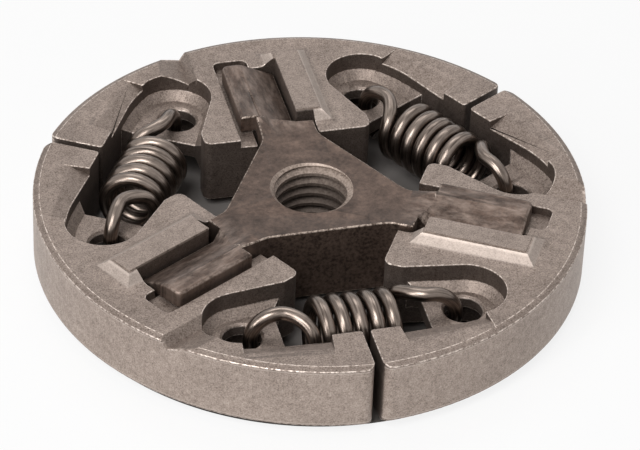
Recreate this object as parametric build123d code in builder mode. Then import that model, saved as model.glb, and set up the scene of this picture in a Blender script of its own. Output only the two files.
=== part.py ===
from build123d import *
from math import cos, pi, radians, sin, sqrt, tan
import os

# Chainsaw clutch, in millimetres. Z is the crankshaft's axis, and z = 0 the clutch's middle plane.
# A forged hub has three arms of Z-shaped section. A sintered shoe slides outwards on each arm
# until it grips the drum, and three extension springs between the shoes pull them back.
# Each piece is drawn with its arm, or the gap that it spans, along +Y: there x runs across and
# y out from the crankshaft. The last lines turn its copies to their places.

# Whole clutch
shoe_count = 3
drum_radius = 40.0          # inside of the drum, which the shoes' faces are ground to
shoe_travel = 1.0           # from rest to the drum
shoe_gap = 1.1              # between neighbouring shoes at rest
arm_clearance = 0.2         # between an arm and the shoe that slides on it

# Shoe
shoe_thickness = 10.0
lip_height = 1.5            # raised bar beside the slot, above the shoe's face
rim_depth = 8.1             # face to pocket, on the line midway between two shoes
rim_bevel_width = 0.9
rim_bevel_height = 0.35
corner_round = 1.4          # upright edges of the rim, outside, beside the gap
wall_round = 0.5            # the same edges inside
slot_width = 4.0
slot_rim = 7.7              # what the slot leaves of the shoe, at its outer end
mouth_gap = 0.4             # each side of the arm's neck, in the wider mouth of the slot
mouth_play = 0.4            # between the mouth's end and the end of the neck
shelf_width = 5.0           # stepped side of the slot, under the arm's flange
shelf_depth = 1.3
shelf_rim = 5.5             # what the shelf leaves of the shoe, at its outer end
shelf_round = 1.0
bar_width = 3.4             # flat top of the raised bar
bar_setback = 0.2           # of its flat top from the wide mouth
bar_rim = 6.6               # from the shoe's outer face to the flat top
bar_draft = 50.0            # degrees that its sides lean from upright
bar_step = 0.15             # small step down round its flat top
bar_ledge = 0.3             # width of that step
finger_end = 13.9           # inner end of the two fingers beside the neck
finger_side = 2.85          # upright side of a finger, at its inner end
finger_lean = 22.0          # degrees between a finger's flank and the arm
finger_round = 1.2

# Pocket of the shoe, and the web in it that holds a spring's hook
hook_hole_rim = 9.6         # centre of the hole from the shoe's outer face
hook_hole_angle = 28.0      # degrees round the crankshaft, from the arm
hook_hole_diameter = 5.4
hook_hole_bevel = 0.35
pocket_radius = 5.4         # round end of the pocket, behind the hole
pocket_shift_across = 0.4   # its centre from the hole's
pocket_shift_out = 0.5
pocket_cusp_angle = 55.0    # degrees round it, where the rim's inner wall meets it
wall_straight = 11.8        # length of that wall's straight part, from the line between shoes
web_thickness = 2.2
web_edge = 10.3             # straight edge of the web, from the same line
web_root = 0.8              # how far the web is sunk in the walls round it

# Recesses and groove, pressed in both faces of the shoe
recess_depth = 1.3          # at the rim's inner wall, from where its floor slopes up to the face
recess_width = 4.1
recess_brim = 1.3           # outer part of its width, with a shallow slope
recess_brim_drop = 0.15
recess_start = 5.2          # from the line between two shoes
recess_end = 17.3
recess_taper = 1.3          # how far it turns inwards from its start to its end
groove_wall = 10.0          # top of the groove's steep side, from the arm's axis
groove_wall_width = 1.15
groove_ramp_width = 3.85
groove_depth = 1.45

# Hub
hub_rise = 0.75             # of its flat faces above the shoes'
hub_side = 9.9              # flat sides between the arms, from the axis
hub_blend = 4.0
neck_width = 8.2
neck_end = 17.3
neck_rise = 3.5             # length over which the neck rises to the flange's top
slope_run = 1.35            # length over which the arm's slope runs out into the neck's top
arm_end_gap = 0.6           # between the arm's tip and the slot's end, at rest
arm_wall = 3.2              # thickness of the arm's middle wall
flange_reach = 6.3          # from the arm's axis to the flange's edge
flange_flat = 2.8           # flat top of the flange, before its slope
slope_drop = 2.5
fold_round = 3.0            # between the flat top and the slope
forging_round = 0.5
tip_round = 0.9             # upright corner of the flange, at the arm's tip
bore_radius = 5.1           # tapping size of an M12 coarse thread, left hand
bore_bevel = 0.8

# Springs
wire_diameter = 2.05
coil_diameter = 9.85        # outside
coil_pitch = 2.3
coil_turns = 5 + 2 / 3
coil_wall_gap = 1.5         # between the coil and the rim's inner wall
coil_lift = 0.5             # coil's axis above the clutch's middle plane
hook_radius = 3.9           # of a hook's loop, at the middle of its wire
hook_lift = 0.5             # centre of a hook's loop above the clutch's middle plane
hook_gap = 0.1              # between a hook and the edge of its hole
hook_curl = 75.0            # degrees that a hook goes on, past its outermost point
coil_points = 12            # for each turn

half_sector = 180 / shoe_count
sector_turn = radians(half_sector)
shoe_face = shoe_thickness / 2
hub_thickness = shoe_thickness + 2 * hub_rise
rest_radius = drum_radius - shoe_travel
slot_end = rest_radius - slot_rim
shelf_end = rest_radius - shelf_rim
mouth_width = neck_width + 2 * mouth_gap
mouth_end = neck_end + mouth_play
bar_start = mouth_end + bar_setback
bar_end = rest_radius - bar_rim
hook_hole_reach = rest_radius - hook_hole_rim
hole_across = hook_hole_reach * sin(radians(hook_hole_angle))
hole_out = hook_hole_reach * cos(radians(hook_hole_angle))


def beside_gap(aside, out):
    """Point in a shoe's frame, given from the line midway between it and the next shoe."""
    across = out * sin(sector_turn) - aside * cos(sector_turn)
    return (across, out * cos(sector_turn) + aside * sin(sector_turn))


# Shoe: first its outline, half of it drawn and mirrored
arc_drop = shoe_travel * cos(sector_turn)
arc_aside = shoe_gap / 2 + shoe_travel * sin(sector_turn)
corner = beside_gap(shoe_gap / 2, sqrt(drum_radius**2 - arc_aside**2) - arc_drop)
wall_reach = drum_radius - arc_drop - rim_depth
lobe_across = hole_across + pocket_shift_across
lobe_out = hole_out + pocket_shift_out
cusp_turn = radians(pocket_cusp_angle)
cusp = (lobe_across + pocket_radius * cos(cusp_turn), lobe_out + pocket_radius * sin(cusp_turn))
lean = radians(finger_lean)
flank_across = lobe_across - pocket_radius * cos(lean)
flank_out = lobe_out - pocket_radius * sin(lean)
flank_end = finger_end + finger_side
finger_half_width = flank_across + (flank_out - flank_end) * tan(lean)
web_finger_reach = (
    flank_across + (flank_out - web_edge * sin(sector_turn)) * tan(lean) + web_edge * cos(sector_turn)
) / (sin(sector_turn) + cos(sector_turn) * tan(lean))

# The two faces of a shoe are alike, turned half round the arm's axis
upper_face = Plane.XY
lower_face = Plane(origin=(0, 0, 0), x_dir=(-1, 0, 0), z_dir=(0, 0, -1))

# Tool that presses the recesses: its floor slopes up from the rim's inner wall to the shoe's face
recess_near = Vector(*beside_gap(recess_start, wall_reach + recess_width), shoe_face)
recess_far = Vector(*beside_gap(recess_end, wall_reach + recess_width - recess_taper), shoe_face)
recess_line = recess_far - recess_near
recess_reach = recess_width + recess_taper
with BuildPart() as recesses:
    with BuildSketch(Plane(recess_near, x_dir=Axis.Z.direction.cross(recess_line), z_dir=recess_line)):
        with BuildLine():
            Polyline(
                (0, 0),
                (recess_brim, -recess_brim_drop),
                (recess_width, -recess_depth),
                (recess_reach, -recess_depth),
                (recess_reach, shoe_face),
                (0, shoe_face),
                close=True,
            )
        make_face()
    extrude(amount=recess_line.length)
    mirror(about=Plane.YZ)
    mirror(about=Plane.XY)

with BuildPart() as shoe:
    with BuildSketch(Plane.XY.offset(-shoe_face)) as outline:
        with BuildLine():
            with BuildLine() as half:
                wall = Line(beside_gap(shoe_gap / 2, wall_reach), beside_gap(wall_straight, wall_reach))
                TangentArc(wall @ 1, cusp, tangent=wall % 1)
                CenterArc(
                    (lobe_across, lobe_out), pocket_radius,
                    pocket_cusp_angle, 180 + finger_lean - pocket_cusp_angle,
                )
                Polyline(
                    (flank_across, flank_out),
                    (finger_half_width, flank_end),
                    (finger_half_width, finger_end),
                    (0, finger_end),
                )
                Line(corner, wall @ 0)
            mirror(half.line, about=Plane.YZ)
            ThreePointArc((-corner[0], corner[1]), (0, rest_radius), corner)
        make_face()
        ends = outline.vertices().sort_by(Axis.X)
        fillet([ends[0], ends[-1]], corner_round)
        for side in (-1, 1):
            wall_end = (side * (wall @ 0).X, (wall @ 0).Y)
            fillet(outline.vertices().sort_by_distance(wall_end)[0], wall_round)
            for finger_corner_out in (finger_end, flank_end):
                finger_corner = (side * finger_half_width, finger_corner_out)
                fillet(outline.vertices().sort_by_distance(finger_corner)[0], finger_round)
    extrude(amount=shoe_thickness)

    # Bevel of the rim on both faces, turned about the drum's axis as it stands to a shoe at rest
    with BuildSketch(Plane.YZ):
        with BuildLine():
            Polyline(
                (rest_radius, shoe_face - rim_bevel_height),
                (rest_radius, shoe_face),
                (rest_radius - rim_bevel_width, shoe_face),
                close=True,
            )
        make_face()
        mirror(about=Plane.XZ)
    revolve(axis=Axis((0, -shoe_travel, 0), (0, 0, 1)), mode=Mode.SUBTRACT)

    # Web across each pocket, and its hole
    with BuildSketch(Plane.XY.offset(-web_thickness / 2)):
        with BuildLine():
            Polyline(
                beside_gap(web_edge, wall_reach + web_root),
                beside_gap(web_edge, web_finger_reach - web_root),
                (flank_across - web_root, flank_out),
                (lobe_across - pocket_radius - web_root, lobe_out + pocket_radius + web_root),
                (lobe_across + pocket_radius / 2, lobe_out + pocket_radius + web_root),
                close=True,
            )
        make_face()
        mirror(about=Plane.YZ)
    extrude(amount=web_thickness)
    with Locations((hole_across, hole_out), (-hole_across, hole_out)):
        Hole(hook_hole_diameter / 2)
    rims = shoe.edges().filter_by(GeomType.CIRCLE).filter_by(
        lambda edge: abs(edge.radius - hook_hole_diameter / 2) < hook_hole_bevel
    )
    chamfer(rims, hook_hole_bevel)

    # Recesses along the rim's inner wall, on both sides of both faces
    add(recesses.part, mode=Mode.SUBTRACT)

    for face in (upper_face, lower_face):
        # Raised bar beside the slot, moulded with sloped sides and a small step round its flat top
        slope_height = lip_height - bar_step
        foot = slope_height * tan(radians(bar_draft))
        top_size = (bar_width, bar_end - bar_start)
        with BuildSketch(face.offset(shoe_face)):
            with Locations((slot_width / 2 - foot - bar_ledge, bar_start - foot - bar_ledge)):
                Rectangle(*[side + 2 * (foot + bar_ledge) for side in top_size], align=Align.MIN)
        extrude(amount=slope_height, taper=bar_draft)
        with BuildSketch(face.offset(shoe_face + slope_height)):
            with Locations((slot_width / 2, bar_start)):
                Rectangle(*top_size, align=Align.MIN)
        extrude(amount=bar_step)
        # Groove across the rim, with one steep side
        with BuildSketch(Plane(origin=(0, lobe_out, 0), x_dir=face.x_dir, z_dir=(0, -1, 0))):
            with BuildLine():
                Polyline(
                    (-groove_wall, shoe_face),
                    (-groove_wall - groove_wall_width, shoe_face - groove_depth),
                    (-groove_wall - groove_wall_width - groove_ramp_width, shoe_face),
                    (-groove_wall, shoe_face + groove_depth),
                    close=True,
                )
            make_face()
        extrude(amount=-drum_radius, mode=Mode.SUBTRACT)
        # Shelf for the arm's flange
        with BuildSketch(face.offset(shoe_face - shelf_depth)) as shelf:
            with Locations((-slot_width / 2, 0)):
                Rectangle(shelf_width, shelf_end, align=(Align.MAX, Align.MIN))
            fillet(shelf.vertices().group_by(Axis.Y)[-1], shelf_round)
        extrude(amount=shoe_thickness, mode=Mode.SUBTRACT)

    # Slot for the arm, right through, with its wider mouth
    with BuildSketch(Plane.XY):
        Rectangle(slot_width, slot_end, align=(Align.CENTER, Align.MIN))
        Rectangle(mouth_width, mouth_end, align=(Align.CENTER, Align.MIN))
    extrude(amount=shoe_thickness, both=True, mode=Mode.SUBTRACT)

# Hub: its body and one arm, repeated round the axis
arm_tip = slot_end - arm_end_gap
arm_half = arm_wall / 2
flange_under = shoe_face - shelf_depth + arm_clearance
flange_top = shoe_face + lip_height
slope_start = flange_reach - flange_flat
slope_width = slope_start + arm_half
half_hub = hub_thickness / 2
level_across = (flange_top - half_hub) * slope_width / slope_drop - slope_start
run_start = neck_end - slope_run


upper_section = [
    (-arm_half, flange_under),
    (-flange_reach, flange_under),
    (-flange_reach, flange_top),
    (-slope_start, flange_top),
    (arm_half, flange_top - slope_drop),
]
neck_section = [
    (-arm_half, flange_under),
    (-neck_width / 2, flange_under),
    (-neck_width / 2, flange_top),
    (-slope_start, flange_top),
    (level_across, half_hub),
    (arm_half, half_hub),
]


def both_faces(half_section):
    """The section's upper half with the lower one, which is the same turned half round."""
    return half_section + [(-across, -level) for across, level in half_section]


with BuildPart() as arm:
    with BuildSketch(Plane.XZ.offset(-neck_end)):
        with BuildLine():
            Polyline(*both_faces(upper_section), close=True)
        make_face()
    extrude(amount=-(arm_tip - neck_end))
    tips = arm.edges().filter_by(Axis.Z).group_by(Axis.Y)[-1].sort_by(Axis.X)
    fillet([tips[0], tips[-1]], tip_round)
    for layer in (0, -1):
        ridges = arm.edges().filter_by(Axis.Y).group_by(Axis.Z)[layer]
        ridges = ridges.sort_by(lambda edge: abs(edge.center().X))
        fillet(ridges[0], fold_round)
        fillet(ridges[-1], forging_round)

# End of the neck: on each face its flat top rises to the flange and runs down to the slope
ramp_width = arm_half - level_across
ramp_drop = half_hub - flange_top + slope_drop
with BuildPart() as run_out:
    with BuildSketch(Plane.XZ.offset(-neck_end)):
        with BuildLine():
            Polyline(*both_faces(neck_section), close=True)
        make_face()
    extrude(amount=neck_rise)
    for side in (1, -1):
        rise = Plane(
            origin=(0, neck_end, side * flange_top),
            z_dir=(0, half_hub - flange_top, side * neck_rise),
        )
        split(bisect_by=rise, keep=Keep.BOTTOM)
        ramp = Plane(
            origin=(side * level_across, neck_end, side * half_hub),
            z_dir=(side * ramp_drop * slope_run, ramp_drop * ramp_width, side * ramp_width * slope_run),
        )
        split(bisect_by=ramp, keep=Keep.BOTTOM)

with BuildPart() as hub:
    with BuildSketch(Plane.XY.offset(-half_hub)) as plan:
        RegularPolygon(hub_side, shoe_count, major_radius=False, rotation=90)
        Circle(run_start, mode=Mode.INTERSECT)
        with PolarLocations(0, shoe_count, start_angle=90):
            Rectangle(run_start, neck_width, align=(Align.MIN, Align.CENTER))
        flanks = plan.vertices().sort_by_distance((0, 0))[: 2 * shoe_count]
        fillet(flanks, hub_blend)
    extrude(amount=hub_thickness)
    with PolarLocations(0, shoe_count):
        add(run_out.part)
        add(arm.part)
    Hole(bore_radius)
    mouths = hub.edges().filter_by(GeomType.CIRCLE).filter_by(
        lambda edge: abs(edge.radius - bore_radius) < bore_bevel
    )
    chamfer(mouths, bore_bevel)

# Spring across one gap: its coil, and at each end a loop that turns out of the coil, over the
# web and down through the hole. Turned half round about its upright line, it looks the same.
coil_radius = (coil_diameter - wire_diameter) / 2
coil_half = coil_pitch * coil_turns / 2
coil_reach = wall_reach - coil_wall_gap - coil_diameter / 2
steps = round(coil_turns * coil_points)
hole_aside = hook_hole_reach * sin(radians(half_sector - hook_hole_angle))
web_rim = hole_aside - hook_hole_diameter / 2
hook_inside = hook_radius - wire_diameter / 2 - hook_gap
hook_aside = web_rim - sqrt(hook_inside**2 - (web_thickness / 2 + hook_lift) ** 2)
curl = radians(hook_curl)
hook_top = (hook_aside, coil_reach, hook_lift + hook_radius)
hook_outside = (hook_aside + hook_radius, coil_reach, hook_lift)
hook_tip = (hook_aside + hook_radius * cos(curl), coil_reach, hook_lift - hook_radius * sin(curl))


def coil_point(step):
    """Point on the coil's centre line, from one end at step 0 to the other."""
    share = 2 * step / steps - 1
    wind = pi * coil_turns * share
    return (share * coil_half, coil_reach - coil_radius * sin(wind), coil_lift + coil_radius * cos(wind))


with BuildPart() as spring:
    with BuildLine() as wire:
        coil = Spline(*[coil_point(step) for step in range(steps + 1)])
        ease = Spline(coil @ 1, hook_top, tangents=(coil % 1, (1, 0, 0)))
        ThreePointArc(hook_top, hook_outside, hook_tip)
        start = coil @ 0
        first = Spline(
            (-hook_top[0], hook_top[1], hook_top[2]), start, tangents=((1, 0, 0), coil % 0)
        )
        ThreePointArc(
            (-hook_tip[0], hook_tip[1], hook_tip[2]),
            (-hook_outside[0], hook_outside[1], hook_outside[2]),
            (-hook_top[0], hook_top[1], hook_top[2]),
        )
    path = wire.wire()
    with BuildSketch(Plane(origin=path @ 0, z_dir=path % 0)):
        Circle(wire_diameter / 2)
    sweep(path=path)

# Every piece in its place round the axis
os.makedirs("parts", exist_ok=True)
hub.part.label = "hub"
export_step(hub.part, "parts/hub.step")
for number in range(shoe_count):
    arm_angle = number * 2 * half_sector
    shoe_piece = Location((0, 0, 0), (0, 0, arm_angle)) * shoe.part
    shoe_piece.label = f"shoe_{number + 1}"
    export_step(shoe_piece, f"parts/{shoe_piece.label}.step")
    spring_piece = Location((0, 0, 0), (0, 0, arm_angle - half_sector)) * spring.part
    spring_piece.label = f"spring_{number + 1}"
    export_step(spring_piece, f"parts/{spring_piece.label}.step")
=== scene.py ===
import math

import bmesh
import bpy
from mathutils import Matrix, Quaternion, Vector


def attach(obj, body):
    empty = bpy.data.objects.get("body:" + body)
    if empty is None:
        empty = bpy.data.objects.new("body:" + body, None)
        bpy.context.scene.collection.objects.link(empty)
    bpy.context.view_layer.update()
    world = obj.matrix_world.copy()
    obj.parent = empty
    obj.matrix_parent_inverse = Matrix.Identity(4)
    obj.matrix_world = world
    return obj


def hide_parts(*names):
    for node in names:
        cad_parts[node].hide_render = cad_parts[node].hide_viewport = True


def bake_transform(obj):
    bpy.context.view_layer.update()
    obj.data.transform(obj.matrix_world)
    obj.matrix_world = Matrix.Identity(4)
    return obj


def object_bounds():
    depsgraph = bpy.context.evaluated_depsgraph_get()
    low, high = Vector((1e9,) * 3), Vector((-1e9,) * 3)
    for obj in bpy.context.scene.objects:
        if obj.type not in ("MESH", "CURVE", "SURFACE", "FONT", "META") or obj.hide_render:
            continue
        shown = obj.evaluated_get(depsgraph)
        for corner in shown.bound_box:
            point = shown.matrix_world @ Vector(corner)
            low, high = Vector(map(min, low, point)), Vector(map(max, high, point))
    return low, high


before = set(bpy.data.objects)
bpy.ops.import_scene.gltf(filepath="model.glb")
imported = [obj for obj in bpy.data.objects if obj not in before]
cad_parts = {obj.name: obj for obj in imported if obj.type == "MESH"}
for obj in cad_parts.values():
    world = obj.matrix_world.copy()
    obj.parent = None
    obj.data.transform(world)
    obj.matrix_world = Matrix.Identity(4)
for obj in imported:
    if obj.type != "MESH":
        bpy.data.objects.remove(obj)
cad_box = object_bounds()
bpy.ops.object.select_all(action="DESELECT")

# Studio: the clutch lies on a white table under a broad soft lamp high behind it, with two smaller
# soft ones in front on the left, one high and one low. The camera stands half a metre away, with a
# long lens.
table_level = cad_box[0].z
camera_azimuth = math.radians(-15)
camera_height_angle = math.radians(37.87)
camera_distance = 0.5146
camera_roll = math.radians(2.44)
lens_mm = 202.6
aim = Vector((0.0028, 0.0049, -0.005))
orbit_centre = Vector((0, 0, -0.005))

back = Vector((
    math.sin(camera_azimuth) * math.cos(camera_height_angle),
    -math.cos(camera_azimuth) * math.cos(camera_height_angle),
    math.sin(camera_height_angle),
))
stand = orbit_centre + camera_distance * back
level_view = (aim - stand).to_track_quat("-Z", "Y")
bpy.ops.object.camera_add(location=stand)
camera = bpy.context.object
camera.rotation_euler = (level_view @ Quaternion((0, 0, 1), camera_roll)).to_euler()
camera.data.lens = lens_mm
camera.data.sensor_width = 36
camera.data.clip_start = 0.01
bpy.context.scene.camera = camera


def soft_lamp(name, azimuth, height_angle, distance, width, length, watts):
    """A rectangular lamp that faces the clutch; azimuth 0 is the near side and 90 the right."""
    turn, rise = math.radians(azimuth), math.radians(height_angle)
    place = distance * Vector((
        math.sin(turn) * math.cos(rise), -math.cos(turn) * math.cos(rise), math.sin(rise)
    ))
    bpy.ops.object.light_add(type="AREA", location=place)
    lamp = bpy.context.object
    lamp.name = name
    lamp.rotation_euler = (-place).to_track_quat("-Z", "Y").to_euler()
    lamp.data.shape = "RECTANGLE"
    lamp.data.size = width
    lamp.data.size_y = length
    lamp.data.energy = watts
    return lamp


soft_lamp("back_lamp", 168, 60, 0.9, 0.7, 0.4, 1.9)
soft_lamp("left_lamp", -40, 50, 0.9, 0.42, 0.42, 5)
soft_lamp("window_lamp", -58, 22, 0.9, 0.2, 0.4, 2.3)


class Socket:
    """An output of a shader node. Arithmetic on it adds Math nodes, and node() any other node."""

    def __init__(self, tree, output=None):
        self.tree = tree
        self.output = output

    def node(self, kind, settings=None, inputs=None, stops=(), out=0):
        made = self.tree.nodes.new(kind)
        for name, value in (settings or {}).items():
            setattr(made, name, value)
        for place, (position, colour) in enumerate(stops):
            ramp = made.color_ramp.elements
            stop = ramp[place] if place < len(ramp) else ramp.new(position)
            stop.position = position
            stop.color = colour if hasattr(colour, "__len__") else (colour, colour, colour, 1)
        for name, value in (inputs or {}).items():
            if isinstance(value, Socket):
                self.tree.links.new(value.output, made.inputs[name])
            else:
                made.inputs[name].default_value = value
        return Socket(self.tree, made.outputs[out] if made.outputs else None)

    def maths(self, operation, first, second):
        return self.node("ShaderNodeMath", {"operation": operation}, {0: first, 1: second})

    def __add__(self, other):
        return self.maths("ADD", self, other)

    def __sub__(self, other):
        return self.maths("SUBTRACT", self, other)

    def __mul__(self, other):
        return self.maths("MULTIPLY", self, other)

    def __rsub__(self, other):
        return self.maths("SUBTRACT", other, self)

    def __abs__(self):
        return self.maths("ABSOLUTE", self, 0)

    __radd__ = __add__
    __rmul__ = __mul__


def blank_material(name):
    """A new material's node tree, emptied, as a Socket to add nodes from."""
    material = bpy.data.materials.new(name)
    material.use_nodes = True
    material.node_tree.nodes.clear()
    return material, Socket(material.node_tree)


def srgb(red, green, blue):
    """A colour as read off a screen, 0 to 255, in the linear values that shaders take."""
    def linear(channel):
        share = channel / 255
        return share / 12.92 if share <= 0.04045 else ((share + 0.055) / 1.055) ** 2.4
    return (linear(red), linear(green), linear(blue), 1)


def mix_colour(share, first, second):
    """Colour that goes from first to second as share goes from 0 to 1."""
    return share.node(
        "ShaderNodeMix", {"data_type": "RGBA"}, {0: share, 6: first, 7: second}, out=2
    )


# White table and backdrop: seen straight, they are white with the clutch's soft shadow on them,
# and the table also glows white in the metal's reflections, a painted glow; where the shoes and the
# hub shut it in, the table is painted dark, as painted shade
table_white = (0.93, 0.93, 0.93, 1)
painted_shade_inside = (0.2, 0.185, 0.175, 1)
painted_shade_radius = 0.0372
table_glow = 0.85

bpy.ops.mesh.primitive_plane_add(size=3, location=(0, 0, table_level - 0.0001))
table = bpy.context.object
table.name = "table"
table_paint, nodes = blank_material("table_paint")
spot = nodes.node("ShaderNodeTexCoord", out=3)
distance = spot.node("ShaderNodeVectorMath", {"operation": "LENGTH"}, {0: spot}, out=1)
# Painted shade: inside this round, under the clutch, the table takes a dark colour
open_table = distance.maths("GREATER_THAN", distance, painted_shade_radius)
cloth = mix_colour(open_table, painted_shade_inside, table_white)
matt = nodes.node("ShaderNodeBsdfDiffuse", inputs={"Color": cloth})
glow = nodes.node("ShaderNodeEmission", inputs={"Color": (1, 1, 1, 1), "Strength": 1})
# The table glows for camera, glossy and transmitted rays: white backdrop, and a painted glow in the
# clutch's reflections
seen = nodes.node("ShaderNodeLightPath") + nodes.node("ShaderNodeLightPath", out=3)
seen = seen + nodes.node("ShaderNodeLightPath", out=6)
glowing = seen * open_table * table_glow
lit = nodes.node("ShaderNodeMixShader", inputs={0: glowing, 1: matt, 2: glow})
nodes.node("ShaderNodeOutputMaterial", inputs={"Surface": lit})
table.data.materials.append(table_paint)

room = bpy.data.worlds.new("room")
bpy.context.scene.world = room
room.use_nodes = True
room.node_tree.nodes.clear()
air = Socket(room.node_tree)
room_light = air.node("ShaderNodeBackground", inputs={"Color": (1, 1, 1, 1), "Strength": 0.15})
white_wall = air.node("ShaderNodeBackground", inputs={"Color": (1, 1, 1, 1), "Strength": 1})
straight = air.node("ShaderNodeLightPath") + air.node("ShaderNodeLightPath", out=3)
straight = straight + air.node("ShaderNodeLightPath", out=6)
around = air.node("ShaderNodeMixShader", inputs={0: straight, 1: room_light, 2: white_wall})
air.node("ShaderNodeOutputWorld", inputs={"Surface": around})
bpy.context.scene.view_settings.view_transform = "Standard"


# Shoes: three like weights pressed from steel powder, sintered, and ground round outside. The
# pressing leaves sharp edges with a light burr, and a slope where the thin web meets its walls.
web_level = 0.0011
web_slope = 0.0012
face_level = 0.005
bar_foot = 0.0006
bar_level = 0.0062
shoe_edge = 0.00013
flat_angle = math.radians(0.5)
ground_radius = 0.0385
rim_level = 0.00465
groove_depth = 0.00145
groove_near = 0.009
fold_radius = 0.0372
grain_size, clump_size, blotch_size = 0.00021, 0.0009, 0.007
# Levels of a painted shadow line and a painted highlight line on the ground rim face
step_shadow_level, step_highlight_level = 0.00452, 0.00433


def copy_node(node, name, *finishes):
    """A solid's mesh as a new piece, its loose triangles joined and its flat faces made whole."""
    piece = bpy.data.objects.new(name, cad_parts[node].data.copy())
    bpy.context.scene.collection.objects.link(piece)
    piece.data.materials.clear()
    for finish in finishes:
        piece.data.materials.append(finish)
    bpy.ops.object.select_all(action="DESELECT")
    piece.select_set(True)
    bpy.context.view_layer.objects.active = piece
    bpy.ops.object.mode_set(mode="EDIT")
    bpy.ops.mesh.select_all(action="SELECT")
    bpy.ops.mesh.remove_doubles(threshold=1e-7)
    bpy.ops.mesh.select_all(action="SELECT")
    bpy.ops.mesh.dissolve_limited(angle_limit=flat_angle)
    bpy.ops.object.mode_set(mode="OBJECT")
    return piece


def bevel_edges(piece, wanted, offset, segments, finish=-1):
    """Bevels the edges for which wanted() is true, with the finish of that number."""
    bpy.ops.object.mode_set(mode="EDIT")
    bpy.ops.mesh.select_mode(type="EDGE")
    bpy.ops.mesh.select_all(action="DESELECT")
    shape = bmesh.from_edit_mesh(piece.data)
    for edge in shape.edges:
        edge.select_set(wanted(edge))
    bmesh.update_edit_mesh(piece.data)
    bpy.ops.mesh.bevel(
        offset=offset, segments=segments, profile=0.5, affect="EDGES", clamp_overlap=False,
        material=finish,
    )
    bpy.ops.object.mode_set(mode="OBJECT")


def smooth_faces(piece, angle):
    """Smooth shading, with flat faces kept flat to their edges."""
    bpy.ops.object.select_all(action="DESELECT")
    piece.select_set(True)
    bpy.context.view_layer.objects.active = piece
    bpy.ops.object.shade_smooth_by_angle(angle=math.radians(angle))
    weigh = piece.modifiers.new("flat_faces", "WEIGHTED_NORMAL")
    weigh.keep_sharp = True
    bpy.ops.object.modifier_apply(modifier=weigh.name)
    for side in piece.data.polygons:
        if abs(side.normal.z) > 0.99:
            side.use_smooth = False


def web_foot(edge):
    """Whether an edge is where the web meets the walls of its pocket."""
    at_web = all(abs(abs(corner.co.z) - web_level) < 1e-5 for corner in edge.verts)
    return at_web and edge.calc_face_angle_signed(0) < -0.5


def foot_line(edge):
    """Whether an edge is the upper one of the slope at the web's foot."""
    level = web_level + web_slope
    at_slope = all(abs(abs(corner.co.z) - level) < 1e-5 for corner in edge.verts)
    return at_slope and edge.calc_face_angle_signed(0) < -0.3


def bar_corner(edge):
    """Whether an edge is where the raised bar meets the shoe's face."""
    at_face = all(abs(abs(corner.co.z) - face_level) < 1e-5 for corner in edge.verts)
    return at_face and edge.calc_face_angle_signed(0) < -0.5


def rim_of_face(edge, highest=bar_level):
    """Whether an edge stands out between a level face and an upright one, and isn't too high."""
    if edge.calc_face_angle_signed(0) < 0.48 or max(abs(end.co.z) for end in edge.verts) > highest:
        return False
    rises = sorted(abs(side.normal.z) for side in edge.link_faces)
    return rises[0] < 0.4 and rises[1] > 0.7


def rim_fold(edge):
    """Whether an edge is between a shoe's face and the bevel of its rim."""
    at_rim = all(
        abs(abs(end.co.z) - face_level) < 1e-5 and end.co.xy.length > fold_radius for end in edge.verts
    )
    return at_rim and 0.25 < edge.calc_face_angle_signed(0) < 0.48


def upright_ridge(edge):
    """Whether an edge stands out and isn't one of a face's."""
    rise = abs(edge.verts[0].co.z - edge.verts[1].co.z)
    return edge.calc_face_angle_signed(0) > 0.48 and rise > 0.9 * edge.calc_length()


def noise(place, size, detail=2, roughness=0.5):
    """Cloudy pattern, 0 to 1, with blotches about size metres across."""
    return place.node(
        "ShaderNodeTexNoise",
        inputs={"Vector": place, "Scale": 1 / size, "Detail": detail, "Roughness": roughness},
    )


def coordinate(place, axis):
    """One coordinate of a place or a direction: 0 for x, 1 for y and 2 for z."""
    return place.node("ShaderNodeSeparateXYZ", inputs={0: place}, out=axis)


def between(value, low, high):
    """Goes from 0 at low to 1 at high, and no further."""
    return value.node("ShaderNodeMapRange", inputs={0: value, 1: low, 2: high, 3: 0, 4: 1})


sintered, nodes = blank_material("sintered_steel")
place = nodes.node("ShaderNodeTexCoord", out=3)
grain = noise(place, grain_size, 2, 0.6)
clump = noise(place, clump_size, 3, 0.6)
blotch = noise(place, blotch_size, 4, 0.6)
tone = (grain - 0.5) * 1.8 + (clump - 0.5) * 0.8 + (blotch - 0.5) * 0.5 + 0.5
colour = mix_colour(tone, srgb(86, 73, 65), srgb(166, 151, 141))
pore = between(grain, 0.38, 0.3)
colour = mix_colour(pore * 0.5, colour, srgb(60, 50, 44))
across, out, level = (coordinate(place, axis) for axis in range(3))
level = abs(level)
reach = across.node("ShaderNodeMath", {"operation": "SQRT"}, {0: across * across + out * out})
ground = between(reach, ground_radius, ground_radius + 0.0003) * between(level, 0.0047, 0.0046)
bare = mix_colour(tone, srgb(140, 125, 115), srgb(206, 190, 179))
colour = mix_colour(ground * 0.6, colour, bare)
# A dark line and a light line round the ground rim face: painted shadow and painted highlight of a
# small step under the rim's bevel
painted_step_line = 1 - between(abs(level - step_shadow_level), 0.00003, 0.00009)
colour = mix_colour(ground * painted_step_line * 0.55, colour, srgb(70, 58, 51))
painted_step_line = 1 - between(abs(level - step_highlight_level), 0.00003, 0.00009)
colour = mix_colour(ground * painted_step_line * 0.4, colour, srgb(214, 200, 190))
facing = abs(coordinate(nodes.node("ShaderNodeTexCoord", out=1), 2))
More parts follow.
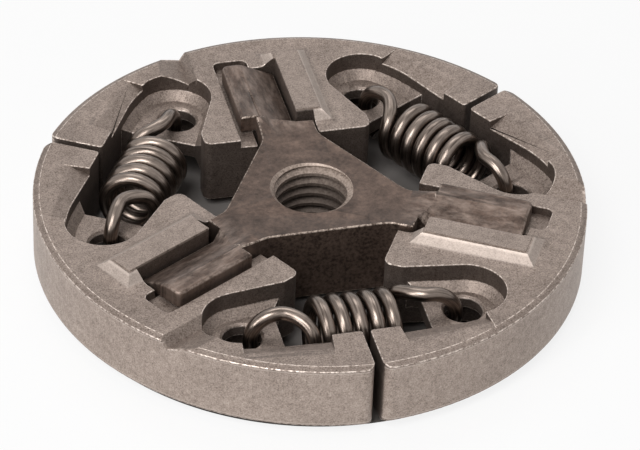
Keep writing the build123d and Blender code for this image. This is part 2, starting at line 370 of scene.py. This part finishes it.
# Painted shade: upright walls, all but the ground rim face, are painted darker
wall = between(facing, 0.5, 0.2) * (1 - ground)
colour = mix_colour(wall * 0.62, colour, srgb(52, 42, 37))
rubbed_bar = between(level, 0.0062, 0.0064)
colour = mix_colour(rubbed_bar * 0.08, colour, srgb(180, 166, 156))
off_level = between(facing, 0.95, 0.85)
# Painted highlight: the tilted slopes of the raised bars are painted lighter
slope = between(facing, 0.4, 0.5) * off_level * between(level, 0.0049, 0.0052)
colour = mix_colour(slope * 0.26, colour, srgb(222, 208, 198))
crest = between(level, 0.00605, 0.00622) * off_level * between(clump, 0.3, 0.45)
colour = mix_colour(crest * 0.45, colour, srgb(212, 197, 186))
# Painted shade: surfaces sunk below the shoe's face, down to about 3 mm, are painted darker
sunk_painted_shade = between(level, 0.00496, 0.00485) * between(level, 0.003, 0.0034) * (1 - ground)
colour = mix_colour(sunk_painted_shade * 0.16, colour, srgb(70, 58, 51))
bump = nodes.node("ShaderNodeBump", inputs={
    "Strength": 0.6, "Distance": 0.00005, "Height": grain + clump,
})
skin = nodes.node("ShaderNodeBsdfPrincipled", inputs={
    "Base Color": colour, "Metallic": 0.6, "Roughness": 0.52 + (grain - 0.5) * 0.3, "Normal": bump,
})
nodes.node("ShaderNodeOutputMaterial", inputs={"Surface": skin})


def burr_material(name, dull, bright):
    """Edges with a burr: bright where it was rubbed and dull between."""
    material, nodes = blank_material(name)
    place = nodes.node("ShaderNodeTexCoord", out=3)
    rubbed = between(noise(place, 0.0005, 3, 0.7), 0.4, 0.6)
    colour = mix_colour(rubbed, dull, bright)
    skin = nodes.node("ShaderNodeBsdfPrincipled", inputs={
        "Base Color": colour, "Metallic": 0.7, "Roughness": 0.55 - rubbed * 0.15,
    })
    nodes.node("ShaderNodeOutputMaterial", inputs={"Surface": skin})
    return material


shoe_burr = burr_material("sintered_burr", srgb(126, 112, 103), srgb(214, 200, 190))

shoe = copy_node("shoe_1", "shoe_1_pressed", sintered, shoe_burr)
for corner in shoe.data.vertices:
    on_rim = corner.co.xy.length > ground_radius
    in_groove = -rim_level < corner.co.z < groove_depth - face_level + 1e-5 and on_rim
    at_bottom = abs(corner.co.z + face_level - groove_depth) < 1e-5
    if corner.co.x > groove_near and (in_groove or at_bottom):  # only the upper face keeps its groove
        corner.co.z = -rim_level if on_rim else -face_level
bevel_edges(shoe, web_foot, web_slope, 1)
bevel_edges(shoe, foot_line, shoe_edge / 2, 1, 1)
bevel_edges(shoe, bar_corner, bar_foot, 3)
bevel_edges(shoe, rim_of_face, shoe_edge, 2, 1)
bevel_edges(shoe, rim_fold, shoe_edge / 2, 1, 1)
bevel_edges(shoe, upright_ridge, shoe_edge, 2)
smooth_faces(shoe, 18)

for number in (1, 2, 3):
    piece = shoe if number == 1 else bpy.data.objects.new(f"shoe_{number}_pressed", shoe.data.copy())
    if number > 1:
        bpy.context.scene.collection.objects.link(piece)
        piece.data.transform(Matrix.Rotation(math.radians(120 * (number - 1)), 4, "Z"))
    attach(piece, f"shoe_{number}")
    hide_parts(f"shoe_{number}")


# Hub: a forged steel spider, blackened in oil. Its bore has a left-hand thread, cut after forging,
# that screws it onto the crankshaft, and the shoes slide on its three arms.
pitch = 0.00175
root_radius = 0.006
thread_inside = 0.0047
hub_edge = 0.00022
bore_edge = 0.007
above_arms = 0.0066
arm_start, arm_full = 0.013, 0.0165

forged, nodes = blank_material("oil_blackened_steel")
place = nodes.node("ShaderNodeTexCoord", out=3)
scale_marks = noise(place, 0.0034, 6, 0.7)
fine = noise(place, 0.0005, 4, 0.65)
soot = between(noise(place, 0.0028, 5, 0.7), 0.47, 0.72)
tone = (scale_marks - 0.5) * 1.7 + (fine - 0.5) * 1.5 + 0.5
colour = mix_colour(tone, srgb(51, 40, 34), srgb(109, 91, 81))
colour = mix_colour(soot * 0.55, colour, srgb(42, 32, 27))
across, out = coordinate(place, 0), coordinate(place, 1)
turn = out.maths("ARCTAN2", out, across) - math.pi / 2
turn = turn.node("ShaderNodeMath", {"operation": "WRAP"}, {
    0: turn, 1: math.pi / 3, 2: -math.pi / 3,
})
reach = out.node("ShaderNodeMath", {"operation": "SQRT"}, {0: across * across + out * out})
from_arm = reach * turn.node("ShaderNodeMath", {"operation": "SINE"}, {0: turn})
along_arm = reach * turn.node("ShaderNodeMath", {"operation": "COSINE"}, {0: turn})
drawn_out = from_arm.node("ShaderNodeCombineXYZ", inputs={
    0: from_arm, 1: along_arm * 0.3, 2: turn * 0.0005,
})
on_arm = between(along_arm, arm_start, arm_full)
stripe = between(noise(drawn_out, 0.0012, 4, 0.65), 0.42, 0.66)
colour = mix_colour(on_arm * stripe * 0.42, colour, srgb(170, 152, 141))
tilt = abs(coordinate(nodes.node("ShaderNodeTexCoord", out=1), 2))
side_wall = between(tilt, 0.3, 0.1) * between(fine, 0.4, 0.65)
colour = mix_colour(side_wall * 0.5, colour, srgb(122, 104, 93))
# Painted highlight: the sloped faces of the arms are painted lighter in speckles
arm_slope_highlight = between(tilt, 0.25, 0.45) * between(tilt, 0.9, 0.78) * between(fine, 0.4, 0.6)
colour = mix_colour(on_arm * arm_slope_highlight * 0.3, colour, srgb(186, 170, 158))
dirt = between(noise(drawn_out, 0.0019, 4, 0.7), 0.5, 0.36)
colour = mix_colour(on_arm * dirt * 0.5, colour, srgb(48, 38, 32))
bump = nodes.node("ShaderNodeBump", inputs={
    "Strength": 0.5, "Distance": 0.00006, "Height": fine + scale_marks * 2,
})
skin = nodes.node("ShaderNodeBsdfPrincipled", inputs={
    "Base Color": colour, "Metallic": 0.7, "Roughness": 0.46 + (fine - 0.5) * 0.3, "Normal": bump,
})
nodes.node("ShaderNodeOutputMaterial", inputs={"Surface": skin})
hub_burr = burr_material("forged_burr", srgb(84, 71, 63), srgb(182, 166, 154))

cut_steel, nodes = blank_material("cut_steel")
place = nodes.node("ShaderNodeTexCoord", out=3)
swarf = noise(place, 0.00035, 3, 0.7)
colour = mix_colour((swarf - 0.5) * 2 + 0.5, srgb(96, 81, 72), srgb(196, 178, 165))
depth = coordinate(place, 2)
# Painted shade: the bore is painted darker towards the bottom
colour = mix_colour(between(depth, 0.0054, 0.002) * 0.75, colour, srgb(52, 42, 36))
skin = nodes.node("ShaderNodeBsdfPrincipled", inputs={
    "Base Color": colour, "Metallic": 0.5, "Roughness": 0.5 + (swarf - 0.5) * 0.3,
})
nodes.node("ShaderNodeOutputMaterial", inputs={"Surface": skin})


hub = copy_node("hub", "hub_forged", forged, hub_burr, cut_steel)


def outer_edge(edge):
    """Whether an edge is a face's and away from the bore."""
    off_bore = min(corner.co.xy.length for corner in edge.verts) > bore_edge
    return rim_of_face(edge, above_arms) and off_bore


bevel_edges(hub, outer_edge, hub_edge, 2, 1)

half_root = pitch / 16
half_mouth = half_root + (root_radius - thread_inside) * math.tan(math.radians(30))
start_level = -0.0085
cutter_mesh = bpy.data.meshes.new("tap")
cutter_mesh.from_pydata(
    [
        (thread_inside, 0, start_level - half_mouth),
        (root_radius, 0, start_level - half_root),
        (root_radius, 0, start_level + half_root),
        (thread_inside, 0, start_level + half_mouth),
    ],
    [(0, 1), (1, 2), (2, 3), (3, 0)], [],
)
tap = bpy.data.objects.new("tap", cutter_mesh)
bpy.context.scene.collection.objects.link(tap)
bpy.ops.object.select_all(action="DESELECT")
tap.select_set(True)
bpy.context.view_layer.objects.active = tap
winding = tap.modifiers.new("winding", "SCREW")
winding.angle = -math.tau
winding.screw_offset = pitch
winding.iterations = 10
winding.steps = 96
winding.render_steps = 96
bpy.ops.object.modifier_apply(modifier=winding.name)
bpy.ops.object.mode_set(mode="EDIT")
bpy.ops.mesh.select_all(action="DESELECT")
bpy.ops.mesh.select_non_manifold()
bpy.ops.mesh.edge_face_add()
bpy.ops.mesh.select_all(action="SELECT")
bpy.ops.mesh.normals_make_consistent(inside=False)
bpy.ops.object.mode_set(mode="OBJECT")

cut = hub.modifiers.new("thread", "BOOLEAN")
cut.operation = "DIFFERENCE"
cut.solver = "EXACT"
cut.object = tap
bpy.context.view_layer.objects.active = hub
bpy.ops.object.modifier_apply(modifier=cut.name)
bpy.data.objects.remove(tap)
smooth_faces(hub, 35)
for side in hub.data.polygons:
    if side.center.xy.length < root_radius and abs(side.normal.z) < 0.95:
        side.use_smooth = False
        side.material_index = 2
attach(hub, "hub")
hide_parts("hub")

# Springs: close-wound from oil-tempered wire, with an open hook at each end. Each spring is one
# wire, shown as two parts that meet under its coil, one for each end, named for that end's shoe.
wire_radius = 0.001025
coil_radius = 0.0039
coil_pitch = 0.0023
coil_turns = 5 + 2 / 3
coil_reach = 0.024975
coil_lift = 0.0005
hook_radius = 0.0039
hook_lift = 0.0005
hook_aside = 0.010612
hook_curl = math.radians(75)
points_per_turn = 30
hook_points = 16
seam_turn = 0.5


def wire_path(first_turn):
    """Centre line of the wire from that turn of the coil, counted from its middle, to a hook's tip."""
    points = []
    last_turn = coil_turns / 2
    steps = round((last_turn - first_turn) * points_per_turn)
    for step in (0, 0.05, *range(1, steps + 1)):
        turn = first_turn + (last_turn - first_turn) * step / steps
        points.append(Vector((
            coil_pitch * turn,
            coil_reach - coil_radius * math.sin(math.tau * turn),
            coil_lift + coil_radius * math.cos(math.tau * turn),
        )))
    end, before = points[-1], points[-2]
    top = Vector((hook_aside, coil_reach, hook_lift + hook_radius))
    reach = (top - end).length
    leave = (end - before).normalized() * reach
    arrive = Vector((reach, 0, 0))
    for step in range(1, hook_points):
        t = step / hook_points
        points.append(
            (2 * t**3 - 3 * t**2 + 1) * end + (t**3 - 2 * t**2 + t) * leave
            + (3 * t**2 - 2 * t**3) * top + (t**3 - t**2) * arrive
        )
    for step in range(hook_points + 1):
        turn = math.pi / 2 - (math.pi / 2 + hook_curl) * step / hook_points
        points.append(Vector((
            hook_aside + hook_radius * math.cos(turn), coil_reach,
            hook_lift + hook_radius * math.sin(turn),
        )))
    return points


def spring_part(name, turn, flip):
    """A spring from its seam to one hook, in its place: turn is the gap's, and flip the other hook."""
    line = bpy.data.curves.new(name, "CURVE")
    line.dimensions = "3D"
    path = wire_path(-seam_turn if flip else seam_turn)
    spline = line.splines.new("POLY")
    spline.points.add(len(path) - 1)
    for point, place in zip(spline.points, path):
        if flip:
            place = Vector((-place.x, 2 * coil_reach - place.y, place.z))
        point.co = (*(Matrix.Rotation(turn, 3, "Z") @ place), 1)
    line.bevel_depth = wire_radius
    line.bevel_resolution = 8
    line.use_fill_caps = True
    part = bpy.data.objects.new(name, line)
    bpy.context.scene.collection.objects.link(part)
    bpy.ops.object.select_all(action="DESELECT")
    part.select_set(True)
    bpy.context.view_layer.objects.active = part
    bpy.ops.object.convert(target="MESH")
    bpy.ops.object.shade_smooth_by_angle(angle=math.radians(50))
    return bpy.context.object


drawn, nodes = blank_material("drawn_wire")
wire_place = nodes.node("ShaderNodeTexCoord", out=2)
round_wire = coordinate(wire_place, 0) * math.tau
along_wire = coordinate(wire_place, 1)
ring = nodes.node("ShaderNodeCombineXYZ", inputs={
    0: nodes.node("ShaderNodeMath", {"operation": "COSINE"}, {0: round_wire}),
    1: nodes.node("ShaderNodeMath", {"operation": "SINE"}, {0: round_wire}),
    2: along_wire * 9,
})
streak = noise(ring, 0.34, 4, 0.65)
patch = noise(nodes.node("ShaderNodeTexCoord", out=3), 0.0018, 3, 0.6)
tone = (streak - 0.5) * 2 + (patch - 0.5) * 0.5 + 0.48
colour = mix_colour(tone, srgb(44, 34, 28), srgb(154, 140, 130))
skin = nodes.node("ShaderNodeBsdfPrincipled", inputs={
    "Base Color": colour, "Metallic": 1.0, "Roughness": 0.29 + (streak - 0.5) * 0.06,
    "Coat Weight": 0.25, "Coat Roughness": 0.2,
})
nodes.node("ShaderNodeOutputMaterial", inputs={"Surface": skin})

for number, plus_shoe, minus_shoe in ((1, 3, 1), (2, 1, 2), (3, 2, 3)):
    for shoe_number, side in ((plus_shoe, 1), (minus_shoe, -1)):
        part = spring_part(
            f"spring_{number}_end_{shoe_number}", math.radians(120 * (number - 1) - 60), side < 0
        )
        part.data.materials.append(drawn)
        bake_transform(part)
        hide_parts(f"spring_{number}")
